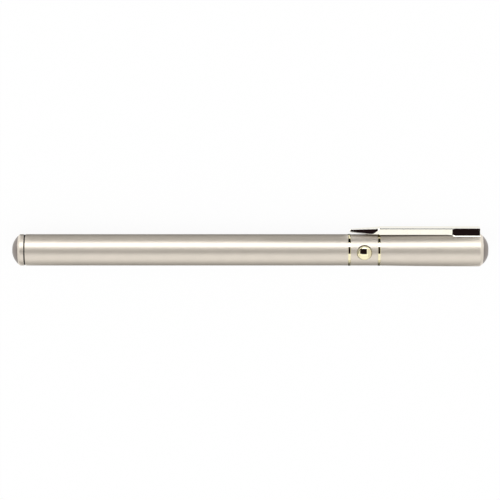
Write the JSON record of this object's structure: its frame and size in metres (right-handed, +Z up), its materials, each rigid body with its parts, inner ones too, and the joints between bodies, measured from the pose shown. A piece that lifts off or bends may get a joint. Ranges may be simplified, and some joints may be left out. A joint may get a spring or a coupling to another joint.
{
  "type": "laser pointer",
  "caption": "Slim pen-shaped laser pointer with a satin nickel tube, a gold push button between gold rings, a gold pocket clip at the beam end and domed ends.",
  "frame": {"origin": "middle of the footprint at table level, with the pen lying on the underside of its cap and on the lower edge of its clip", "axes": "+X along the pen towards the nose and the beam, +Z up from the table, +Y to the side that the clip lies on"},
  "size_m": [0.152, 0.0126, 0.011],
  "materials": {
    "satin_nickel": "warm satin nickel plate with a fine lengthwise grain",
    "dark_nickel": "smoother, darker nickel plate",
    "gold": "polished pale gold plate",
    "bare_brass": "turned, unplated",
    "spring_steel": "drawn wire",
    "tinned_steel": "tin plate",
    "cell_jacket": "plain printed steel jacket, unmarked",
    "seal_rubber": "moulded",
    "black_plastic": "moulded, fine grain",
    "board_laminate": "green solder resist on glass laminate",
    "chip_resin": "moulded resin",
    "ceramic": "fired ceramic with tinned ends",
    "trimmer_plastic": "moulded",
    "lens_glass": "clear, polished"
  },
  "bodies": {
    "housing": {"barrel_tube": "satin_nickel", "rear_cell": "cell_jacket", "front_cell": "cell_jacket", "rear_gold_ring": "gold", "switch_collar": "satin_nickel", "front_gold_ring": "gold", "inner_sleeve": "bare_brass", "cap_tube": "satin_nickel", "nose_dome": "dark_nickel", "clip_root": "gold", "switch_base": "black_plastic", "switch_cover": "tinned_steel", "switch_snap_dome": "spring_steel", "switch_terminal_1": "tinned_steel", "switch_terminal_2": "tinned_steel", "switch_terminal_3": "tinned_steel", "switch_terminal_4": "tinned_steel", "circuit_board": "board_laminate", "board_cradle": "black_plastic", "front_contact": "bare_brass", "front_contact_spring": "spring_steel", "driver_transistor": "chip_resin", "current_resistor": "chip_resin", "smoothing_capacitor": "ceramic", "power_trimmer": "trimmer_plastic", "module_housing": "bare_brass", "laser_diode": "tinned_steel", "lens_spring": "spring_steel", "lens_holder": "bare_brass", "collimating_lens": "lens_glass"},
    "button": {"button_cap": "gold"},
    "plunger": {"switch_plunger": "black_plastic"},
    "clip_arm": {"clip_arm": "gold"},
    "tail_slider": {"tail_spring": "spring_steel"},
    "tail_cap": {"tail_plug": "dark_nickel", "tail_cap_ring": "satin_nickel", "tail_seal_ring": "seal_rubber"}
  },
  "joints": [
    {"name": "button_press", "type": "slide", "parent": "housing", "child": "button", "axis": [0, -0.477, -0.8789], "range_m": [0, 0.0005], "stiffness_N_per_m": 4000},
    {"name": "plunger_press", "type": "slide", "parent": "housing", "child": "plunger", "axis": [0, -0.477, -0.8789], "range_m": [0, 0.0005], "deforming": ["switch_snap_dome"]},
    {"name": "clip_flex", "type": "hinge", "parent": "housing", "child": "clip_arm", "pos_m": [0.06442, 0.00513, 0.00192], "axis": [0, -0.477, -0.8789], "range_deg": [0, 5], "stiffness_Nm_per_rad": 1.5},
    {"name": "tail_advance", "type": "slide", "parent": "housing", "child": "tail_slider", "axis": [-1, 0, 0], "range_m": [0, 0.00525], "deforming": ["tail_spring"]},
    {"name": "tail_unscrew", "type": "hinge", "parent": "tail_slider", "child": "tail_cap", "pos_m": [-0.0725, -0.00102, 0.00526], "axis": [-1, 0, 0], "range_deg": [0, 2520]}
  ],
  "couplings": [
    {"joint": "plunger_press", "follows": "button_press", "ratio": 1},
    {"joint": "tail_unscrew", "follows": "tail_advance", "rad_per_m": 8377.6}
  ]
}
